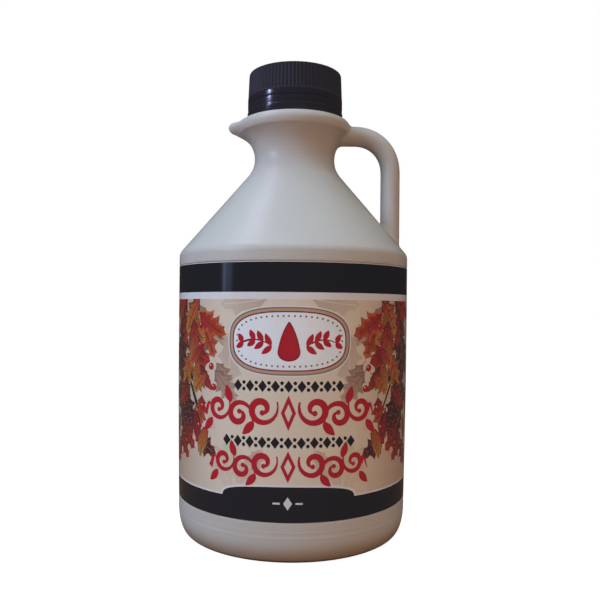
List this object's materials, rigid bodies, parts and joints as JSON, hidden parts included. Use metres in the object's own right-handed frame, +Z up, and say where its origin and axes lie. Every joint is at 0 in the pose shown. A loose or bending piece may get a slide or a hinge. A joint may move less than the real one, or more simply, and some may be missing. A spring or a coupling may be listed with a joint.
{
  "type": "syrup jug",
  "caption": "Round plastic syrup jug with a short pouring beak, a loop handle, a printed sleeve label and a ribbed black screw cap.",
  "frame": {"origin": "centre of the base, on the surface that the jug stands on", "axes": "+Z up along the jug's axis, +X towards the handle, -X towards the pouring beak, -Y towards the front of the label"},
  "size_m": [0.1016, 0.1016, 0.2017],
  "materials": {
    "milky_plastic": "satin, milky, warmed by the syrup inside",
    "printed_label": "glossy printed film",
    "black_plastic": "semi-gloss moulded"
  },
  "bodies": {
    "root": {"bottle": "milky_plastic", "label_sleeve": "printed_label", "cap_ring": "black_plastic", "screw_cap": "black_plastic"}
  },
  "joints": []
}
